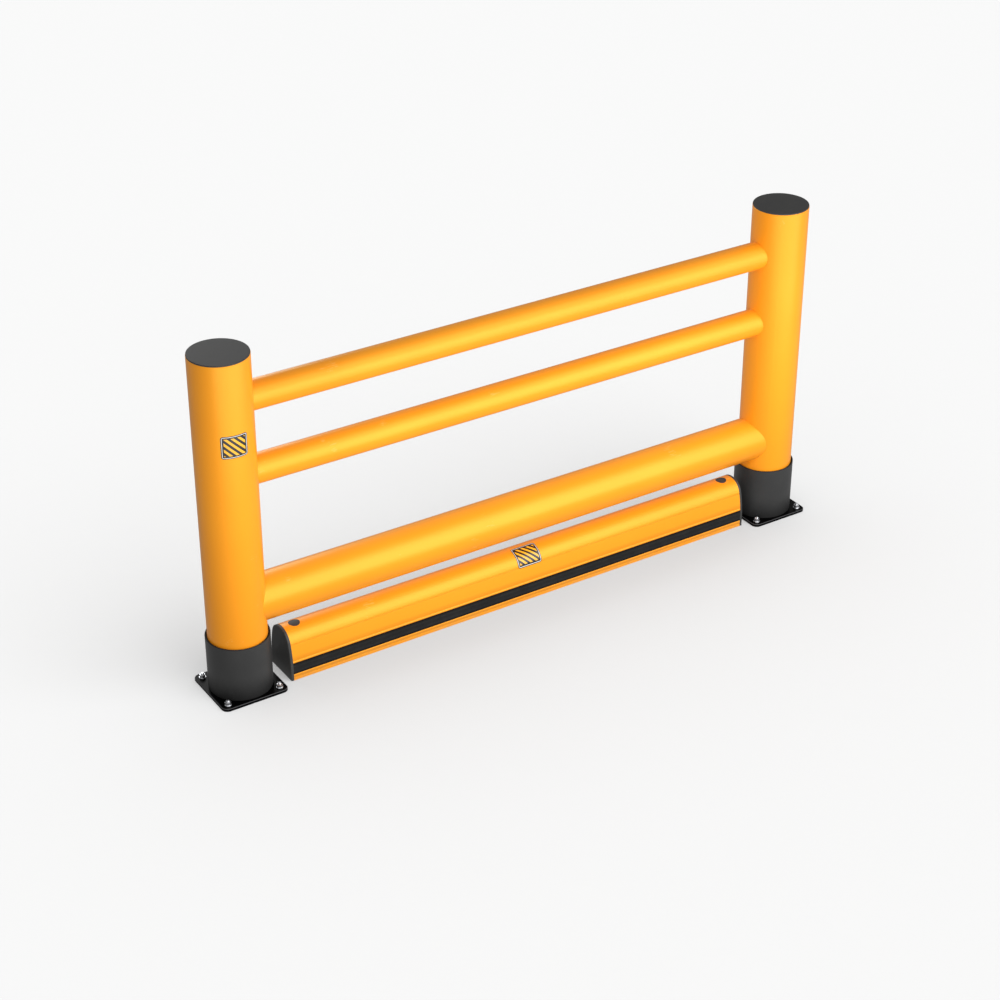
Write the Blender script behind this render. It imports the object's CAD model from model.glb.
"""Looks of the polymer safety barrier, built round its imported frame. Metres, +Z up, -Y is the front."""

import math

import bmesh
import bpy
from mathutils import Matrix, Vector


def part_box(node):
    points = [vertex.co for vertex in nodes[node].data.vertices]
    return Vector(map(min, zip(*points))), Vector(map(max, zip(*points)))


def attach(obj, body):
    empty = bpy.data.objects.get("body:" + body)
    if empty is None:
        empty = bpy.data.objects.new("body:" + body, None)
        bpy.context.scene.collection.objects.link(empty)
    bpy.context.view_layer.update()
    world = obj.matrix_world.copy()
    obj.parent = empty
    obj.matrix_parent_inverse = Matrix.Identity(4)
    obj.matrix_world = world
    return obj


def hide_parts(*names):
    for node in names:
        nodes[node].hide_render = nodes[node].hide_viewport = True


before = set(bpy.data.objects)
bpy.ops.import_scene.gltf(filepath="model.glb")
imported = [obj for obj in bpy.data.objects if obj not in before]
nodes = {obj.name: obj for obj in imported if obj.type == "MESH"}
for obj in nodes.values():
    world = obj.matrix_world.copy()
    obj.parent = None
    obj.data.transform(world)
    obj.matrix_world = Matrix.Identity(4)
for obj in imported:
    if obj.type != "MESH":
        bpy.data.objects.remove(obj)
scene = bpy.context.scene
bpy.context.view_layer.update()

# ---------------------------------------------------------------- camera
# A long lens to the left of the barrier's front, above its top rail and dipped towards the kerb.
# It is no part of the barrier, and has both posts, all three rails and the kerb in view.
camera_place = (-3.65293, -5.56754, 4.18813)
camera_turn = math.radians(-32.72)
camera_dip = math.radians(29.85)
film_width = 36.0
focal_lengths_across = 2.20597

camera_data = bpy.data.cameras.new("camera")
camera_data.sensor_width = film_width
camera_data.lens = film_width * focal_lengths_across
camera = bpy.data.objects.new("camera", camera_data)
camera.location = camera_place
camera.rotation_euler = (math.pi / 2 - camera_dip, 0, camera_turn)
scene.collection.objects.link(camera)
scene.camera = camera

# ---------------------------------------------------------------- studio
# A pale floor with a wash of light of its own, so that the soft boxes shape the barrier alone: a high
# box to the right, a long low one along the rails and one behind. None of it is part of the barrier.
floor_half = 30.0
floor_tone = (0.10, 0.10, 0.10, 1)
floor_glow = 0.22
floor_washes = (
    # name, tilt in degrees about X and Y, spread in degrees, power
    ("wide_wash", (0.0, 0.0), 150.0, 16.0),
    ("slant_wash", (36.0, 18.0), 50.0, 7.6),
)
sky_strength = 0.36
backdrop_strength = 0.96
white = (1, 1, 1, 1)
soft_boxes = (
    # name, place, aimed at, width, height, power
    ("high_box", (1.18, -2.46, 2.22), (1.0, 0.0, 0.6), 4.0, 4.0, 67.0),
    ("long_box", (-0.14, -1.0, 0.84), (-0.17, 0.0, 0.5), 4.37, 1.2, 28.0),
    ("rear_box", (-0.36, 3.19, 1.95), (0.0, 0.0, 0.6), 2.0, 2.0, 41.0),
)

scene.view_settings.view_transform = "Standard"
world = bpy.data.worlds.new("studio")
world.use_nodes = True
world_nodes = world.node_tree.nodes
world_links = world.node_tree.links
sky = world_nodes["Background"]
sky.inputs["Color"].default_value = white
sky.inputs["Strength"].default_value = sky_strength
backdrop = world_nodes.new("ShaderNodeBackground")
backdrop.inputs["Color"].default_value = white
backdrop.inputs["Strength"].default_value = backdrop_strength
ray = world_nodes.new("ShaderNodeLightPath")
sky_or_backdrop = world_nodes.new("ShaderNodeMixShader")
world_links.new(ray.outputs["Is Camera Ray"], sky_or_backdrop.inputs[0])
world_links.new(sky.outputs[0], sky_or_backdrop.inputs[1])
world_links.new(backdrop.outputs[0], sky_or_backdrop.inputs[2])
world_links.new(sky_or_backdrop.outputs[0], world_nodes["World Output"].inputs[0])
scene.world = world

floor_mesh = bpy.data.meshes.new("floor")
floor_corners = [(x * floor_half, y * floor_half, 0) for x, y in ((-1, -1), (1, -1), (1, 1), (-1, 1))]
floor_mesh.from_pydata(floor_corners, [], [(0, 1, 2, 3)])
floor = bpy.data.objects.new("floor", floor_mesh)
scene.collection.objects.link(floor)
floor_paint = bpy.data.materials.new("floor_paint")
floor_paint.use_nodes = True
floor_shader = floor_paint.node_tree.nodes["Principled BSDF"]
floor_shader.inputs["Base Color"].default_value = floor_tone
floor_shader.inputs["Roughness"].default_value = 1.0
floor_shader.inputs["Specular IOR Level"].default_value = 0.0
floor_shader.inputs["Emission Color"].default_value = white
floor_shader.inputs["Emission Strength"].default_value = floor_glow
floor_mesh.materials.append(floor_paint)
floor.visible_diffuse = False
floor.visible_glossy = False

only_floor = bpy.data.collections.new("only_floor")
only_floor.objects.link(floor)
all_but_floor = bpy.data.collections.new("all_but_floor")
all_but_floor.objects.link(floor)
all_but_floor.collection_objects[0].light_linking.link_state = "EXCLUDE"

for wash_name, wash_tilt, wash_spread, wash_power in floor_washes:
    lamp = bpy.data.lights.new(wash_name, "SUN")
    lamp.energy = wash_power
    lamp.angle = math.radians(wash_spread)
    wash = bpy.data.objects.new(wash_name, lamp)
    wash.rotation_euler = (math.radians(wash_tilt[0]), math.radians(wash_tilt[1]), 0)
    wash.light_linking.receiver_collection = only_floor
    scene.collection.objects.link(wash)
for box_name, box_place, box_target, box_width, box_height, box_power in soft_boxes:
    lamp = bpy.data.lights.new(box_name, "AREA")
    lamp.shape = "RECTANGLE"
    lamp.size = box_width
    lamp.size_y = box_height
    lamp.energy = box_power
    soft_box = bpy.data.objects.new(box_name, lamp)
    soft_box.location = box_place
    aim = Vector(box_target) - Vector(box_place)
    soft_box.rotation_euler = aim.to_track_quat("-Z", "Y").to_euler()
    soft_box.visible_camera = False
    soft_box.light_linking.receiver_collection = all_but_floor
    scene.collection.objects.link(soft_box)

# ---------------------------------------------------------------- posts
# Thick-walled tubes of through-coloured polymer, drawn through a die and cut square at the top.
# The die leaves faint lines along the tube under a satin skin with a very fine orange peel.


class Wire:
    """A value on its way through a node tree. Arithmetic on it adds the Math nodes that work it out."""

    def __init__(self, socket):
        self.socket = socket

    def maths(self, operation, *values):
        """A Math node of that operation on these values."""
        return Net(self.socket.id_data).node(
            "ShaderNodeMath", {"operation": operation}, dict(enumerate(values))
        )

    def output(self, name):
        """Another output of the node that this value comes from."""
        return Wire(self.socket.node.outputs[name])

    def __add__(self, other):
        return self.maths("ADD", self, other)

    def __mul__(self, other):
        return self.maths("MULTIPLY", self, other)

    def __sub__(self, other):
        return self.maths("SUBTRACT", self, other)

    def __rsub__(self, other):
        return self.maths("SUBTRACT", other, self)

    def __truediv__(self, other):
        return self.maths("DIVIDE", self, other)

    __radd__ = __add__
    __rmul__ = __mul__


class Net:
    """A node tree that is being wired up."""

    def __init__(self, tree):
        self.tree = tree

    def node(self, kind, settings=None, inputs=None, output=0):
        """Adds a node, sets its settings, then its sockets by place or identifier, and gives an output.

        The setting "stops" fills a colour ramp with greys, given as places and shades.
        """
        added = self.tree.nodes.new(kind)
        for name, value in (settings or {}).items():
            if name == "stops":
                ramp = added.color_ramp
                for place, shade in value:
                    ramp.elements.new(place).color = (shade, shade, shade, 1)
                ramp.elements.remove(ramp.elements[0])
                ramp.elements.remove(ramp.elements[-1])
            else:
                setattr(added, name, value)
        for key, value in (inputs or {}).items():
            socket = next(s for i, s in enumerate(added.inputs) if key in (i, s.identifier))
            if isinstance(value, Wire):
                self.tree.links.new(value.socket, socket)
            else:
                socket.default_value = value
        return Wire(added.outputs[output])


def own_place(net, stretch=(1, 1, 1)):
    """The point on the piece in its own coordinates, with each axis multiplied by stretch."""
    point = net.node("ShaderNodeTexCoord").output("Object")
    return net.node("ShaderNodeMapping", {}, {"Vector": point, "Scale": stretch})


def noise(net, place, scale, detail=3.0, roughness=0.5):
    """Smooth noise from 0 to 1 with so many blobs to the metre."""
    return net.node(
        "ShaderNodeTexNoise",
        {},
        {"Vector": place, "Scale": scale, "Detail": detail, "Roughness": roughness},
    )


def blend(net, share, one, other):
    """The colour one where share is 0 and other where it is 1."""
    return net.node(
        "ShaderNodeMix",
        {"data_type": "RGBA"},
        {"Factor_Float": share, "A_Color": one, "B_Color": other},
        output=2,
    )


def ease(net, value, low, high):
    """0 below low and 1 above high, with a smooth step between them."""
    return net.node(
        "ShaderNodeMapRange",
        {"interpolation_type": "SMOOTHSTEP"},
        {"Value": value, "From Min": low, "From Max": high},
    )


def rough_up(net, height, depth, normal=None):
    """The surface's normal with that height from 0 to 1 laid on it, depth metres deep."""
    inputs = {"Height": height, "Strength": 1.0, "Distance": depth}
    if normal:
        inputs["Normal"] = normal
    return net.node("ShaderNodeBump", {}, inputs)


def start_finish(name):
    """A new material with its net and its shader node."""
    finish = bpy.data.materials.new(name)
    finish.use_nodes = True
    return finish, Net(finish.node_tree), finish.node_tree.nodes["Principled BSDF"]


def dress(node_name, finish):
    """Gives a CAD node that finish in place of its plain one."""
    node = nodes[node_name]
    node.data.materials.clear()
    node.data.materials.append(finish)
    node.data.polygons.foreach_set("material_index", [0] * len(node.data.polygons))


yellow = (0.98, 0.345, 0.016, 1)
deep_yellow = (0.96, 0.320, 0.013, 1)
hollow_yellow = (0.62, 0.185, 0.004, 1)
yellow_sheen = (1.0, 0.97, 0.24, 1)
floor_dust = (0.36, 0.27, 0.17, 1)
scuff_yellow = (1.0, 0.52, 0.14, 1)
draw_line_depth = 0.00010
peel_depth = 0.00003
rub_depth = 0.00002
relief_span = 200  # the heights that a relief covers, in millimetres


def drawn_polymer(name, draw_scale, dust_height, relief=None, relief_depth=0.0):
    """Yellow polymer drawn along the axis whose draw_scale is small, dusty below dust_height.

    relief is how far out the section stands at each height, as heights in millimetres and shares of
    relief_depth.
    """
    finish, net, shader = start_finish(name)
    shader.inputs["Specular IOR Level"].default_value = 1.0
    shader.inputs["Specular Tint"].default_value = yellow_sheen
    place = own_place(net)
    batch = noise(net, place, scale=2.3, detail=4.0)
    draw_lines = noise(net, own_place(net, draw_scale), scale=1.0, detail=5.0, roughness=0.65)
    peel = noise(net, place, scale=620.0, detail=1.0)
    patches = ease(net, noise(net, place, scale=9.0, detail=4.0, roughness=0.6), low=0.52, high=0.72)
    rubs = noise(net, own_place(net, (35, 260, 260)), scale=1.0, detail=2.0) * patches
    rub = ease(net, rubs, low=0.50, high=0.62)
    height = net.node("ShaderNodeSeparateXYZ", {}, {"Vector": place}, output=2)
    low = ease(net, height, low=dust_height, high=0.0)
    specks = ease(net, noise(net, place, scale=60.0, detail=6.0, roughness=0.7), low=0.35, high=0.75)
    dust = low * specks * 0.4

    colour = blend(net, ease(net, batch, low=0.3, high=0.7), yellow, deep_yellow)
    colour = blend(net, draw_lines * 0.12, colour, deep_yellow)
    colour = blend(net, rub * 0.35, colour, scuff_yellow)
    colour = blend(net, dust, colour, floor_dust)
    gloss = 0.29 + draw_lines * 0.08 + batch * 0.04 + rub * 0.16 + dust * 0.4
    surface = rough_up(net, draw_lines, draw_line_depth)
    surface = rough_up(net, peel, peel_depth, surface)
    surface = rough_up(net, rub, rub_depth, surface)
    if relief:
        stops = [(level / relief_span, stand) for level, stand in relief]
        share_of_span = height * (1000 / relief_span)
        stand_out = net.node("ShaderNodeValToRGB", {"stops": stops}, {"Fac": share_of_span})
        surface = rough_up(net, stand_out, relief_depth, surface)
        colour = blend(net, (1 - stand_out) * 0.45, colour, hollow_yellow)
    net.tree.links.new(colour.socket, shader.inputs["Base Color"])
    net.tree.links.new(gloss.socket, shader.inputs["Roughness"])
    net.tree.links.new(surface.socket, shader.inputs["Normal"])
    return finish


post_polymer = drawn_polymer("post_polymer", draw_scale=(420, 420, 1.2), dust_height=0.02)
for side in ("left", "right"):
    dress(f"post_{side}", post_polymer)

# ---------------------------------------------------------------- rails
# Lengths of the same polymer tube, two slim and one thick, pushed into sockets in the posts. They
# are drawn through a die too, so their faint lines run along them.
rail_polymer = drawn_polymer("rail_polymer", draw_scale=(1.2, 420, 420), dust_height=0.02)
for rail in ("top_rail", "middle_rail", "bottom_rail"):
    dress(rail, rail_polymer)

# ---------------------------------------------------------------- kerb body
# One drawn section with a crease under its shoulder, a slot for the strip and a foot on the floor, a
# little dusty and rubbed. The die leaves a lip along each side of the slot, a shallow hollow past
# each lip and the crease.
kerb_relief_depth = 0.0018
kerb_relief = (
    (0.0, 1.0), (8.5, 1.0), (11.0, 0.15), (16.0, 0.35), (19.0, 1.0), (22.0, 1.0), (24.0, 0.7),
    (66.0, 0.7), (68.5, 1.0), (71.0, 1.0), (74.0, 0.1), (80.0, 0.3), (90.0, 1.0), (129.8, 1.0),
    (130.3, 0.5), (133.0, 0.6), (134.8, 1.0),
)
kerb_polymer = drawn_polymer(
    "kerb_polymer",
    draw_scale=(1.0, 520, 520),
    dust_height=0.03,
    relief=kerb_relief,
    relief_depth=kerb_relief_depth,
)
dress("kerb_body", kerb_polymer)

# ---------------------------------------------------------------- kerb strips
# Black rubber strips drawn with three grooves, slid into the dovetail slots of the kerb. Along
# both edges they lie in the slots' shadow, so their own shade only shows between them.
strip_black = (0.013, 0.013, 0.013, 1)
strip_grey = (0.026, 0.026, 0.025, 1)
slot_black = (0.002, 0.0015, 0.001, 1)
strip_line_depth = 0.00012
strip_grain_depth = 0.00004
strip_span = 100  # the heights that strip_shade covers, in millimetres
# How much of the strip's own shade shows at each height in millimetres, dark along both edges.
strip_shade = (
    (0.0, 0.0), (26.0, 0.05), (31.0, 0.65), (35.0, 1.0), (40.0, 0.85), (45.0, 0.6), (50.0, 0.85),
    (54.0, 1.0), (57.5, 0.7), (62.0, 0.05), (100.0, 0.0),
)


def drawn_rubber(name):
    """Black rubber with draw lines along X and a dull bloom in patches."""
    finish, net, shader = start_finish(name)
    shader.inputs["Specular IOR Level"].default_value = 0.22
    place = own_place(net)
    lines = noise(net, own_place(net, (2, 700, 700)), scale=1.0, detail=4.0, roughness=0.6)
    bloom = ease(net, noise(net, place, scale=14.0, detail=5.0, roughness=0.6), low=0.4, high=0.75)
    height = net.node("ShaderNodeSeparateXYZ", {}, {"Vector": place}, output=2)
    stops = [(level / strip_span, shade) for level, shade in strip_shade]
    share_of_span = height * (1000 / strip_span)
    shade = net.node("ShaderNodeValToRGB", {"stops": stops}, {"Fac": share_of_span})
    colour = blend(net, bloom * 0.7, strip_black, strip_grey)
    colour = blend(net, shade, slot_black, colour)
    gloss = 0.50 + bloom * 0.14 + lines * 0.08
    surface = rough_up(net, lines, strip_line_depth)
    surface = rough_up(net, noise(net, place, scale=900.0, detail=2.0), strip_grain_depth, surface)
    net.tree.links.new(colour.socket, shader.inputs["Base Color"])
    net.tree.links.new(gloss.socket, shader.inputs["Roughness"])
    net.tree.links.new(surface.socket, shader.inputs["Normal"])
    return finish


strip_rubber = drawn_rubber("strip_rubber")
dress("kerb_strip_front", strip_rubber)
dress("kerb_strip_back", strip_rubber)

# ---------------------------------------------------------------- collars and seals
# Dark sleeves moulded with a spark-eroded grain, over a rubber ring that wipes the post. The
# sleeves gather black grime round the foot and along the rim, and the rings are dull all over.
grime_black = (0.004, 0.004, 0.004, 1)
grime_ragged = 0.02
sleeve_foot_black = 0.018
sleeve_foot = 0.115
sleeve_rim = (0.2050, 0.2068)


def moulded_polymer(name, colour, worn_colour, gloss, grain_size, grain_depth, sleeve=False):
    """Dark moulded polymer with a pebbled grain and dull patches. A sleeve blackens at foot and rim."""
    finish, net, shader = start_finish(name)
    shader.inputs["Specular IOR Level"].default_value = 0.35
    place = own_place(net)
    grain = net.node(
        "ShaderNodeTexVoronoi", {"feature": "SMOOTH_F1"}, {"Vector": place, "Scale": 1 / grain_size}
    )
    cloud = noise(net, place, scale=11.0, detail=5.0, roughness=0.6)
    speck = ease(net, noise(net, place, scale=240.0, detail=3.0, roughness=0.7), low=0.62, high=0.75)
    worn = ease(net, cloud, low=0.35, high=0.7) * 0.6 + speck * 0.25
    tint = blend(net, worn, colour, worn_colour)
    shine = gloss + cloud * 0.08 + speck * 0.06
    if sleeve:
        height = net.node("ShaderNodeSeparateXYZ", {}, {"Vector": place}, output=2)
        grime = noise(net, place, scale=24.0, detail=5.0, roughness=0.65) * grime_ragged
        foot = ease(net, height + grime, low=sleeve_foot, high=sleeve_foot_black)
        black = foot + ease(net, height, *sleeve_rim)
        tint = blend(net, black * 0.88, tint, grime_black)
        shine = shine + black * 0.25
    surface = rough_up(net, grain, grain_depth)
    net.tree.links.new(tint.socket, shader.inputs["Base Color"])
    net.tree.links.new(shine.socket, shader.inputs["Roughness"])
    net.tree.links.new(surface.socket, shader.inputs["Normal"])
    return finish


collar_polymer = moulded_polymer(
    "collar_polymer",
    colour=(0.036, 0.036, 0.036, 1),
    worn_colour=(0.045, 0.045, 0.044, 1),
    gloss=0.38,
    grain_size=0.0011,
    grain_depth=0.00006,
    sleeve=True,
)
seal_rubber = moulded_polymer(
    "seal_rubber",
    colour=(0.003, 0.003, 0.003, 1),
    worn_colour=(0.005, 0.005, 0.005, 1),
    gloss=0.85,
    grain_size=0.0007,
    grain_depth=0.00003,
)
for side in ("left", "right"):
    dress(f"collar_{side}", collar_polymer)
    dress(f"collar_seal_{side}", seal_rubber)

# ---------------------------------------------------------------- post caps
# Dark grey moulded discs pressed into the tops of the posts, each held by the skirt under it. They
# are coarser in the grain than the collars and a little paler.
cap_polymer = moulded_polymer(
    "cap_polymer",
    colour=(0.038, 0.038, 0.037, 1),
    worn_colour=(0.052, 0.051, 0.049, 1),
    gloss=0.55,
    grain_size=0.0016,
    grain_depth=0.0001,
)
for side in ("left", "right"):
    dress(f"post_cap_{side}", cap_polymer)

# ---------------------------------------------------------------- kerb end caps and bolt covers
# Moulded plates plugged into the kerb's ends, and press-in discs over its two floor bolts. All four
# are of the same dark polymer as the post caps, with a finer grain.
end_cap_polymer = moulded_polymer(
    "end_cap_polymer",
    colour=(0.040, 0.040, 0.039, 1),
    worn_colour=(0.054, 0.054, 0.052, 1),
    gloss=0.48,
    grain_size=0.0012,
    grain_depth=0.00007,
)
for side in ("left", "right"):
    dress(f"kerb_end_cap_{side}", end_cap_polymer)
dress("kerb_bolt_covers", end_cap_polymer)

# ---------------------------------------------------------------- base plates
# Laser-cut steel plates, shot blasted and powder coated in deep black. Some dust is caught in the
# coat, and it is worn grey along the chamfered top edges.
plate_black = (0.0010, 0.0010, 0.0011, 1)
plate_dusty = (0.008, 0.0075, 0.007, 1)
plate_worn = (0.085, 0.085, 0.088, 1)
coat_peel_depth = 0.00008


def powder_coat(name):
    """Black powder coat: a glossy skin with an orange peel, and dust caught in it."""
    finish, net, shader = start_finish(name)
    shader.inputs["Specular IOR Level"].default_value = 0.05
    place = own_place(net)
    dust = ease(net, noise(net, place, scale=38.0, detail=6.0, roughness=0.72), low=0.5, high=0.85)
    facing = net.node("ShaderNodeNewGeometry").output("True Normal")
    lean = net.node("ShaderNodeSeparateXYZ", {}, {"Vector": facing}, output=2)
    edge = ease(net, lean, low=0.3, high=0.5) * ease(net, lean, low=0.98, high=0.9)
    colour = blend(net, dust * 0.35, plate_black, plate_dusty)
    colour = blend(net, edge * 0.8, colour, plate_worn)
    gloss = 0.26 + dust * 0.3 + noise(net, place, scale=20.0) * 0.05
    surface = rough_up(net, noise(net, place, scale=520.0, detail=1.5), coat_peel_depth)
    net.tree.links.new(colour.socket, shader.inputs["Base Color"])
    net.tree.links.new(gloss.socket, shader.inputs["Roughness"])
    net.tree.links.new(surface.socket, shader.inputs["Normal"])
    return finish


plate_coat = powder_coat("plate_coat_black")
for side in ("left", "right"):
    dress(f"base_plate_{side}", plate_coat)

# ---------------------------------------------------------------- inner steel
# Spigots, foot pins and rail rods are hot-dip galvanised, with the zinc's frost-like spangle. They
# are closed in by the posts, collars and caps, so the finished barrier doesn't show them.
zinc_light = (0.60, 0.61, 0.62, 1)
zinc_dark = (0.38, 0.39, 0.41, 1)
spangles_per_metre = 110.0
spangle_depth = 0.00005


def galvanised(name):
    """Hot-dip zinc with grey spangles."""
    finish, net, shader = start_finish(name)
    shader.inputs["Metallic"].default_value = 1.0
    place = own_place(net)
    spangle = net.node(
        "ShaderNodeTexVoronoi", {}, {"Vector": place, "Scale": spangles_per_metre}, output=1
    )
    tone = net.node("ShaderNodeSeparateColor", {}, {"Color": spangle})
    colour = blend(net, tone, zinc_light, zinc_dark)
    gloss = 0.38 + tone * 0.2
    surface = rough_up(net, noise(net, place, scale=300.0), spangle_depth)
    net.tree.links.new(colour.socket, shader.inputs["Base Color"])
    net.tree.links.new(gloss.socket, shader.inputs["Roughness"])
    net.tree.links.new(surface.socket, shader.inputs["Normal"])
    return finish


inner_zinc = galvanised("inner_zinc")
for side in ("left", "right"):
    for part in ("foot_spigot", "foot_pins", "rail_rod"):
        dress(f"{part}_{side}", inner_zinc)

# ---------------------------------------------------------------- floor anchors
# Bright zinc-plated M12 anchors: a threaded stud out of the floor, a washer and a hexagon nut run
# down on it. Each foot has four, the kerb one under each cover.
thread_pitch = 0.00175
thread_depth = 0.0010
stud_sides = 32
rows_per_pitch = 8
nut_flats = 0.019
nut_corner_reach = 0.0107
nut_crown = 0.0091
nut_slope = math.radians(30)
nut_bore = 0.00605
nut_bore_edge = 0.0006
points_per_flat = 8
washer_round = 0.0006
washer_points = 64
washer_round_steps = 4
thread_root = 1.3  # over 1 leaves the thread's root flat


def close_rings(name, rings):
    """A closed ring-shaped mesh from rings of points, each joined to the next and the last to the first."""
    mesh = bpy.data.meshes.new(name)
    around = len(rings[0])
    faces = []
    for row in range(len(rings)):
        after = (row + 1) % len(rings)
        for i in range(around):
            j = (i + 1) % around
            faces.append((row * around + i, row * around + j, after * around + j, after * around + i))
    mesh.from_pydata([point for ring in rings for point in ring], [], faces)
    return finish_mesh(mesh)


def finish_mesh(mesh, crease=35):
    """Turns the faces outwards and smooths them, with sharp edges past crease degrees."""
    shaped = bmesh.new()
    shaped.from_mesh(mesh)
    bmesh.ops.recalc_face_normals(shaped, faces=shaped.faces)
    shaped.to_mesh(mesh)
    shaped.free()
    mesh.shade_smooth()
    mesh.set_sharp_from_angle(angle=math.radians(crease))
    return mesh


def ring_at(radius, height, around, reach=None):
    """Points round a circle, or round a hexagon with clipped corners where reach gives its half flats."""
    points = []
    for i in range(around):
        turn = 2 * math.pi * i / around
        out = radius
        level = height
        if reach:
            to_flat = (turn + math.pi / 6) % (math.pi / 3) - math.pi / 6
            out = min(reach / math.cos(to_flat), nut_corner_reach)
            level = min(height, height - (out - nut_crown) * math.tan(nut_slope)) if height else 0
        points.append((out * math.cos(turn), out * math.sin(turn), level))
    return points


def nut_mesh(height):
    """A hexagon nut standing on Z 0, with turned top corners and a countersunk bore."""
    around = 6 * points_per_flat
    half_flats = nut_flats / 2
    return close_rings(
        "nut",
        [
            ring_at(nut_bore + nut_bore_edge, 0, around),
            ring_at(0, 0, around, half_flats),
            ring_at(0, height, around, half_flats),
            ring_at(nut_crown, height, around),
            ring_at(nut_bore + nut_bore_edge, height, around),
            ring_at(nut_bore, height - nut_bore_edge, around),
            ring_at(nut_bore, nut_bore_edge, around),
        ],
    )


def washer_mesh(radius, bore, height):
    """A punched washer, rounded at its top and bottom rims."""
    profile = [(bore, 0), (radius - washer_round, 0), (radius, washer_round)]
    for step in range(washer_round_steps + 1):
        turn = math.radians(90 * step / washer_round_steps)
        profile.append(
            (
                radius - washer_round + washer_round * math.cos(turn),
                height - washer_round + washer_round * math.sin(turn),
            )
        )
    profile += [(bore + washer_round / 2, height), (bore, height - washer_round / 2)]
    return close_rings("washer", [ring_at(r, z, washer_points) for r, z in profile])


def named_tree(name, sizes):
    """An empty geometry tree with a geometry input and output and those named inputs."""
    tree = bpy.data.node_groups.new(name, "GeometryNodeTree")
    tree.interface.new_socket("Geometry", in_out="INPUT", socket_type="NodeSocketGeometry")
    tree.interface.new_socket("Geometry", in_out="OUTPUT", socket_type="NodeSocketGeometry")
    for size_name, kind in sizes.items():
        tree.interface.new_socket(size_name, in_out="INPUT", socket_type=f"NodeSocket{kind}")
    entry = tree.nodes.new("NodeGroupInput")
    leave = tree.nodes.new("NodeGroupOutput")
    return tree, Net(tree), {s.name: Wire(s) for s in entry.outputs if s.name}, leave


# The stud: a fine-meshed cylinder whose radius follows the thread's rule.
stud_tree, net, size, leave = named_tree(
    "threaded_stud",
    {
        "Radius": "Float", "Length": "Float", "Pitch": "Float", "Depth": "Float",
        "Thread Start": "Float", "Sides": "Int", "Rows": "Int",
    },
)
cylinder = net.node(
    "GeometryNodeMeshCylinder",
    {},
    {"Vertices": size["Sides"], "Side Segments": size["Rows"], "Radius": 1.0, "Depth": size["Length"]},
)
spot = net.node(
    "ShaderNodeSeparateXYZ", {}, {"Vector": net.node("GeometryNodeInputPosition")}
)
level = spot.output("Z") + size["Length"] * 0.5
turn = spot.maths("ARCTAN2", spot.output("Y"), spot.output("X")) / (2 * math.pi)
phase = spot.maths("FRACT", level / size["Pitch"] - turn)
groove = 1 - spot.maths("ABSOLUTE", phase * 2 - 1)
groove = spot.maths("MINIMUM", groove * thread_root, 1.0)
cut = ease(net, level, size["Thread Start"], size["Thread Start"] + size["Pitch"])
radius = size["Radius"] - size["Depth"] * groove * cut
tip = size["Radius"] - spot.maths("MAXIMUM", level - size["Length"] + size["Pitch"], 0.0)
radius = spot.maths("MINIMUM", radius, tip)
shaped_point = net.node(
    "ShaderNodeCombineXYZ",
    {},
    {"X": spot.output("X") * radius, "Y": spot.output("Y") * radius, "Z": level},
)
shaped_stud = net.node(
    "GeometryNodeSetPosition", {}, {"Geometry": cylinder, "Position": shaped_point}
)
stud_tree.links.new(shaped_stud.socket, leave.inputs["Geometry"])

# The set: one piece at each point of a grid, each turned by chance as a spanner leaves it.
set_tree, net, size, leave = named_tree(
    "anchor_set",
    {
        "Piece": "Object", "Spacing X": "Float", "Spacing Y": "Float", "Count X": "Int",
        "Count Y": "Int", "Seed": "Int", "Finish": "Material",
    },
)
corners = net.node(
    "GeometryNodeMeshGrid",
    {},
    {
        "Size X": size["Spacing X"], "Size Y": size["Spacing Y"],
        "Vertices X": size["Count X"], "Vertices Y": size["Count Y"],
    },
)
any_turn = net.node(
    "FunctionNodeRandomValue",
    {"data_type": "FLOAT_VECTOR"},
    {"Min": (0, 0, 0), "Max": (0, 0, 2 * math.pi), "Seed": size["Seed"]},
)
piece_shape = net.node("GeometryNodeObjectInfo", {}, {"Object": size["Piece"]}).output("Geometry")
spread = net.node(
    "GeometryNodeInstanceOnPoints",
    {},
    {"Points": corners, "Instance": piece_shape, "Rotation": any_turn},
)
real = net.node("GeometryNodeRealizeInstances", {}, {"Geometry": spread})
finished = net.node("GeometryNodeSetMaterial", {}, {"Geometry": real, "Material": size["Finish"]})
set_tree.links.new(finished.socket, leave.inputs["Geometry"])


def run_tree(name, tree, values):
    """The plain mesh that a geometry tree makes with those values, given by input name."""
    maker = bpy.data.objects.new(name, bpy.data.meshes.new(name))
    scene.collection.objects.link(maker)
    modifier = maker.modifiers.new("make", "NODES")
    modifier.node_group = tree
    for item in tree.interface.items_tree:
        if item.item_type == "SOCKET" and item.in_out == "INPUT" and item.name in values:
            modifier[item.identifier] = values[item.name]
    made = bpy.data.meshes.new_from_object(maker.evaluated_get(bpy.context.evaluated_depsgraph_get()))
    bpy.data.objects.remove(maker)
    return made


bright = (0.80, 0.81, 0.83, 1)
tarnished = (0.52, 0.53, 0.56, 1)
scratch_depth = 0.00002


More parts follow.
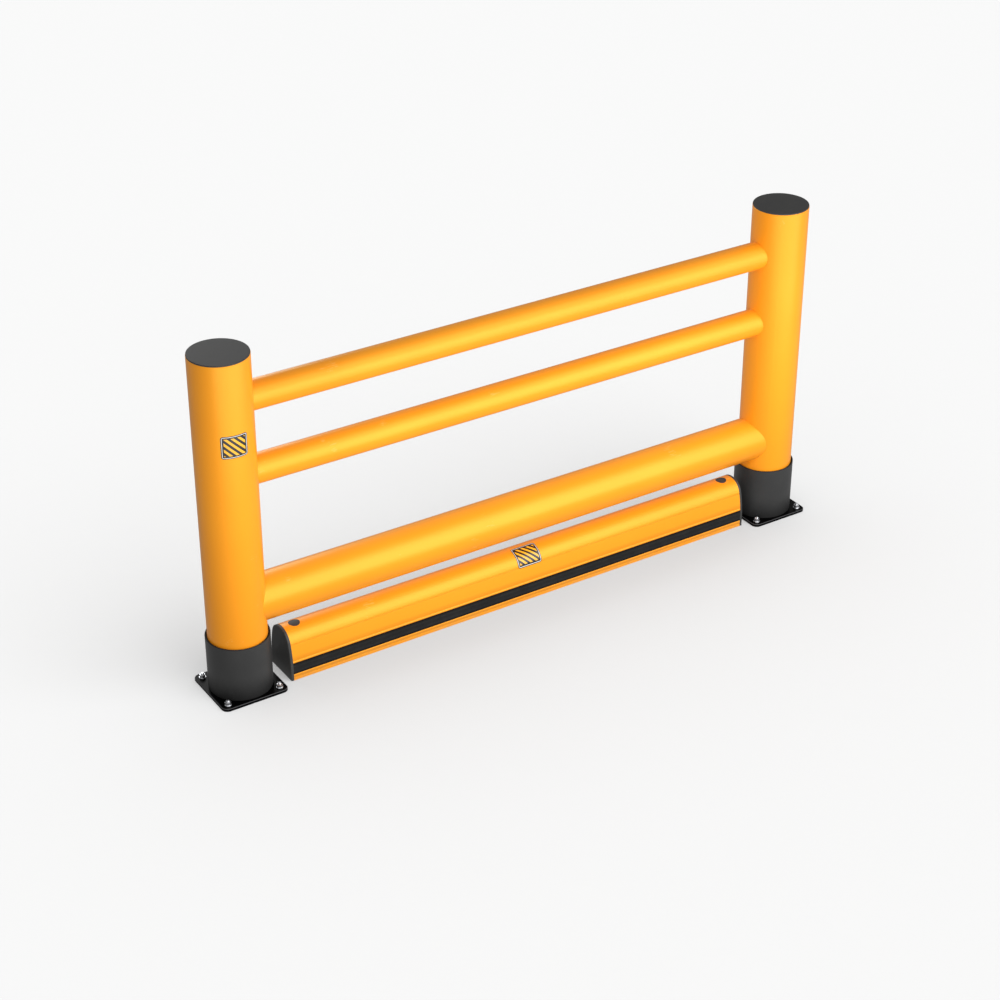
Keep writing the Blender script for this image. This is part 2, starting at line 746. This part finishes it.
def bright_zinc(name):
    """Zinc plate with a clear passivate: bright, a little clouded and finely scratched."""
    finish, net, shader = start_finish(name)
    shader.inputs["Metallic"].default_value = 1.0
    place = own_place(net)
    cloud = noise(net, place, scale=160.0, detail=4.0, roughness=0.6)
    scratch = noise(net, own_place(net, (300, 2600, 900)), scale=1.0, detail=3.0, roughness=0.6)
    colour = blend(net, ease(net, cloud, low=0.4, high=0.75) * 0.7, bright, tarnished)
    gloss = 0.20 + cloud * 0.12 + scratch * 0.12
    surface = rough_up(net, scratch, scratch_depth)
    net.tree.links.new(colour.socket, shader.inputs["Base Color"])
    net.tree.links.new(gloss.socket, shader.inputs["Roughness"])
    net.tree.links.new(surface.socket, shader.inputs["Normal"])
    return finish


anchor_zinc = bright_zinc("anchor_zinc")


def anchor_set(label, centre, spacing, count, seat, seed):
    """Studs, washers and nuts at each point of a grid about centre. seat is the washers' underside."""
    studs, washers, nuts = (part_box(n) for n in label)
    washer_height = washers[1].z - washers[0].z
    nut_height = nuts[1].z - nuts[0].z
    stud_length = studs[1].z - studs[0].z
    stud_radius = (studs[1].y - studs[0].y - spacing[1]) / 2
    washer_radius = (washers[1].y - washers[0].y - spacing[1]) / 2
    thread_start = seat - thread_pitch
    rows = round(stud_length / thread_pitch * rows_per_pitch)
    stud = run_tree(
        "stud",
        stud_tree,
        {
            "Radius": stud_radius, "Length": stud_length, "Pitch": thread_pitch, "Depth": thread_depth,
            "Thread Start": thread_start, "Sides": stud_sides, "Rows": rows,
        },
    )
    shapes = (
        (stud, 0.0),
        (washer_mesh(washer_radius, nut_bore + nut_bore_edge, washer_height), seat),
        (nut_mesh(nut_height), seat + washer_height),
    )
    for node_name, (shape, level) in zip(label, shapes):
        pattern = bpy.data.objects.new("pattern", finish_mesh(shape))
        scene.collection.objects.link(pattern)
        mesh = run_tree(
            node_name,
            set_tree,
            {
                "Piece": pattern, "Spacing X": spacing[0], "Spacing Y": spacing[1],
                "Count X": count[0], "Count Y": count[1], "Seed": seed, "Finish": anchor_zinc,
            },
        )
        bpy.data.objects.remove(pattern)
        mesh.transform(Matrix.Translation((centre.x, centre.y, level)))
        piece = bpy.data.objects.new(f"{node_name}_made", finish_mesh(mesh))
        scene.collection.objects.link(piece)
        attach(piece, "root")
        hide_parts(node_name)


anchor_pitch = 0.19
for seed, side in enumerate(("left", "right")):
    plate_low, plate_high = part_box(f"base_plate_{side}")
    anchor_set(
        (f"anchor_studs_{side}", f"anchor_washers_{side}", f"anchor_nuts_{side}"),
        (plate_low + plate_high) / 2,
        (anchor_pitch, anchor_pitch),
        (2, 2),
        plate_high.z,
        seed,
    )
kerb_stud_low, kerb_stud_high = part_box("kerb_studs")
kerb_anchor_spacing = kerb_stud_high.x - kerb_stud_low.x - (kerb_stud_high.y - kerb_stud_low.y)
anchor_set(
    ("kerb_studs", "kerb_washers", "kerb_nuts"),
    (kerb_stud_low + kerb_stud_high) / 2,
    (kerb_anchor_spacing, 0.0),
    (2, 1),
    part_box("kerb_washers")[0].z,
    len(nodes),
)

# ---------------------------------------------------------------- stickers
# Printed vinyl film under a clear laminate, rolled on flat: yellow hazard bars on black with a
# white keyline, cut with round corners.
film_corner = 0.008
film_black = (0.012, 0.012, 0.012, 1)
film_yellow = (0.93, 0.46, 0.02, 1)
film_white = (0.80, 0.80, 0.78, 1)
keyline_start = 0.0022
keyline_end = 0.0040
bars_start = 0.0085
bar_pitch = 0.022
film_edge_blur = 0.0003
bar_share = 0.245
film_grain_depth = 0.00006
film_stand_off = 0.0006


def hazard_film(name, centre, across, up, width, height):
    """Hazard bars in a keyline, printed square to a plane through centre along across and up."""
    finish, net, shader = start_finish(name)
    shader.inputs["Coat Weight"].default_value = 0.3
    shader.inputs["Coat Roughness"].default_value = 0.18
    place = own_place(net)
    from_centre = net.node("ShaderNodeVectorMath", {"operation": "SUBTRACT"}, {0: place, 1: centre})
    along = net.node("ShaderNodeVectorMath", {"operation": "DOT_PRODUCT"}, {0: from_centre, 1: across}, 1)
    above = net.node("ShaderNodeVectorMath", {"operation": "DOT_PRODUCT"}, {0: from_centre, 1: up}, 1)

    def past(distance, half):
        """How far a distance from the centre line is past the straight part of the film's edge."""
        return along.maths("ABSOLUTE", distance) - (half - film_corner)

    beyond_side = past(along, width / 2)
    beyond_top = past(above, height / 2)
    side_part = along.maths("MAXIMUM", beyond_side, 0.0)
    top_part = along.maths("MAXIMUM", beyond_top, 0.0)
    round_part = along.maths("SQRT", side_part * side_part + top_part * top_part)
    flat_part = along.maths("MINIMUM", along.maths("MAXIMUM", beyond_side, beyond_top), 0.0)
    inset = film_corner - round_part - flat_part

    keyline = ease(net, inset, keyline_start, keyline_start + film_edge_blur)
    keyline = keyline - ease(net, inset, keyline_end, keyline_end + film_edge_blur)
    stripe = along.maths("ABSOLUTE", along.maths("FRACT", (along + above) / bar_pitch) - 0.5)
    bars = ease(net, stripe, bar_share, bar_share + film_edge_blur / bar_pitch * 2)
    bars = bars * ease(net, inset, bars_start, bars_start + film_edge_blur)
    colour = blend(net, keyline, film_black, film_white)
    colour = blend(net, bars, colour, film_yellow)
    scuff = ease(net, noise(net, place, scale=180.0, detail=5.0, roughness=0.7), low=0.55, high=0.8)
    colour = blend(net, scuff * 0.12, colour, floor_dust)
    gloss = 0.30 + scuff * 0.25 + noise(net, place, scale=60.0) * 0.08
    surface = rough_up(net, noise(net, place, scale=240.0, detail=2.0), film_grain_depth)
    net.tree.links.new(colour.socket, shader.inputs["Base Color"])
    net.tree.links.new(gloss.socket, shader.inputs["Roughness"])
    net.tree.links.new(surface.socket, shader.inputs["Normal"])
    return finish


film_low, film_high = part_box("post_sticker")
post_low, post_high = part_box("post_left")
post_axis = (post_low + post_high) / 2
film_reach = (post_high.y - post_low.y) / 2 + film_stand_off
left_edge = -math.acos((film_low.x - post_axis.x) / film_reach)
right_edge = -math.acos((film_high.x - post_axis.x) / film_reach)
facing = (left_edge + right_edge) / 2
sweep = right_edge - left_edge
dress(
    "post_sticker",
    hazard_film(
        "post_film",
        (post_axis.x, post_axis.y, (film_low.z + film_high.z) / 2),
        (-math.sin(facing), math.cos(facing), 0),
        (0, 0, 1),
        2 * film_reach * math.sin(sweep / 2),
        film_high.z - film_low.z,
    ),
)

film_low, film_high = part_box("kerb_sticker")
climb = Vector((0, film_high.y - film_low.y, film_high.z - film_low.z))
dress(
    "kerb_sticker",
    hazard_film(
        "kerb_film",
        (film_low + film_high) / 2,
        (1, 0, 0),
        climb.normalized(),
        film_high.x - film_low.x,
        climb.length,
    ),
)
